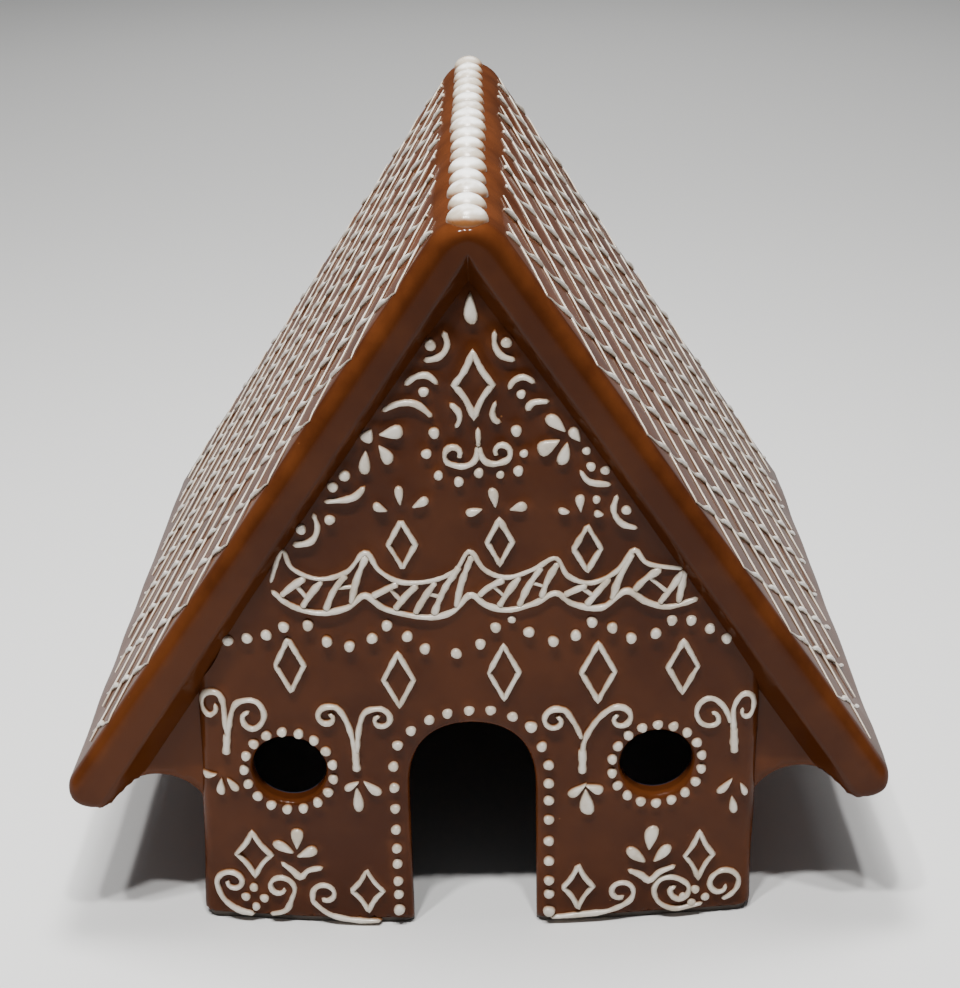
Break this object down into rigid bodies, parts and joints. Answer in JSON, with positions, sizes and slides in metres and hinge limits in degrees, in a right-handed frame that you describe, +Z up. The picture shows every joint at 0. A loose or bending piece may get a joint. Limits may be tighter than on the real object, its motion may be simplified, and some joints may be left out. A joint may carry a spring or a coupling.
{
  "type": "ceramic gingerbread house",
  "caption": "Hollow glazed ceramic house with a steep overhanging roof, a round-topped doorway, round windows and raised piped icing, open underneath.",
  "frame": {"origin": "centre of the footprint, on the surface that the house stands on", "axes": "+X to the right of the doorway, -Y out of the doorway, +Z up"},
  "size_m": [0.2816, 0.267, 0.2578],
  "materials": {
    "glaze": "glossy"
  },
  "bodies": {
    "root": {"house_shell": "glaze"}
  },
  "joints": []
}
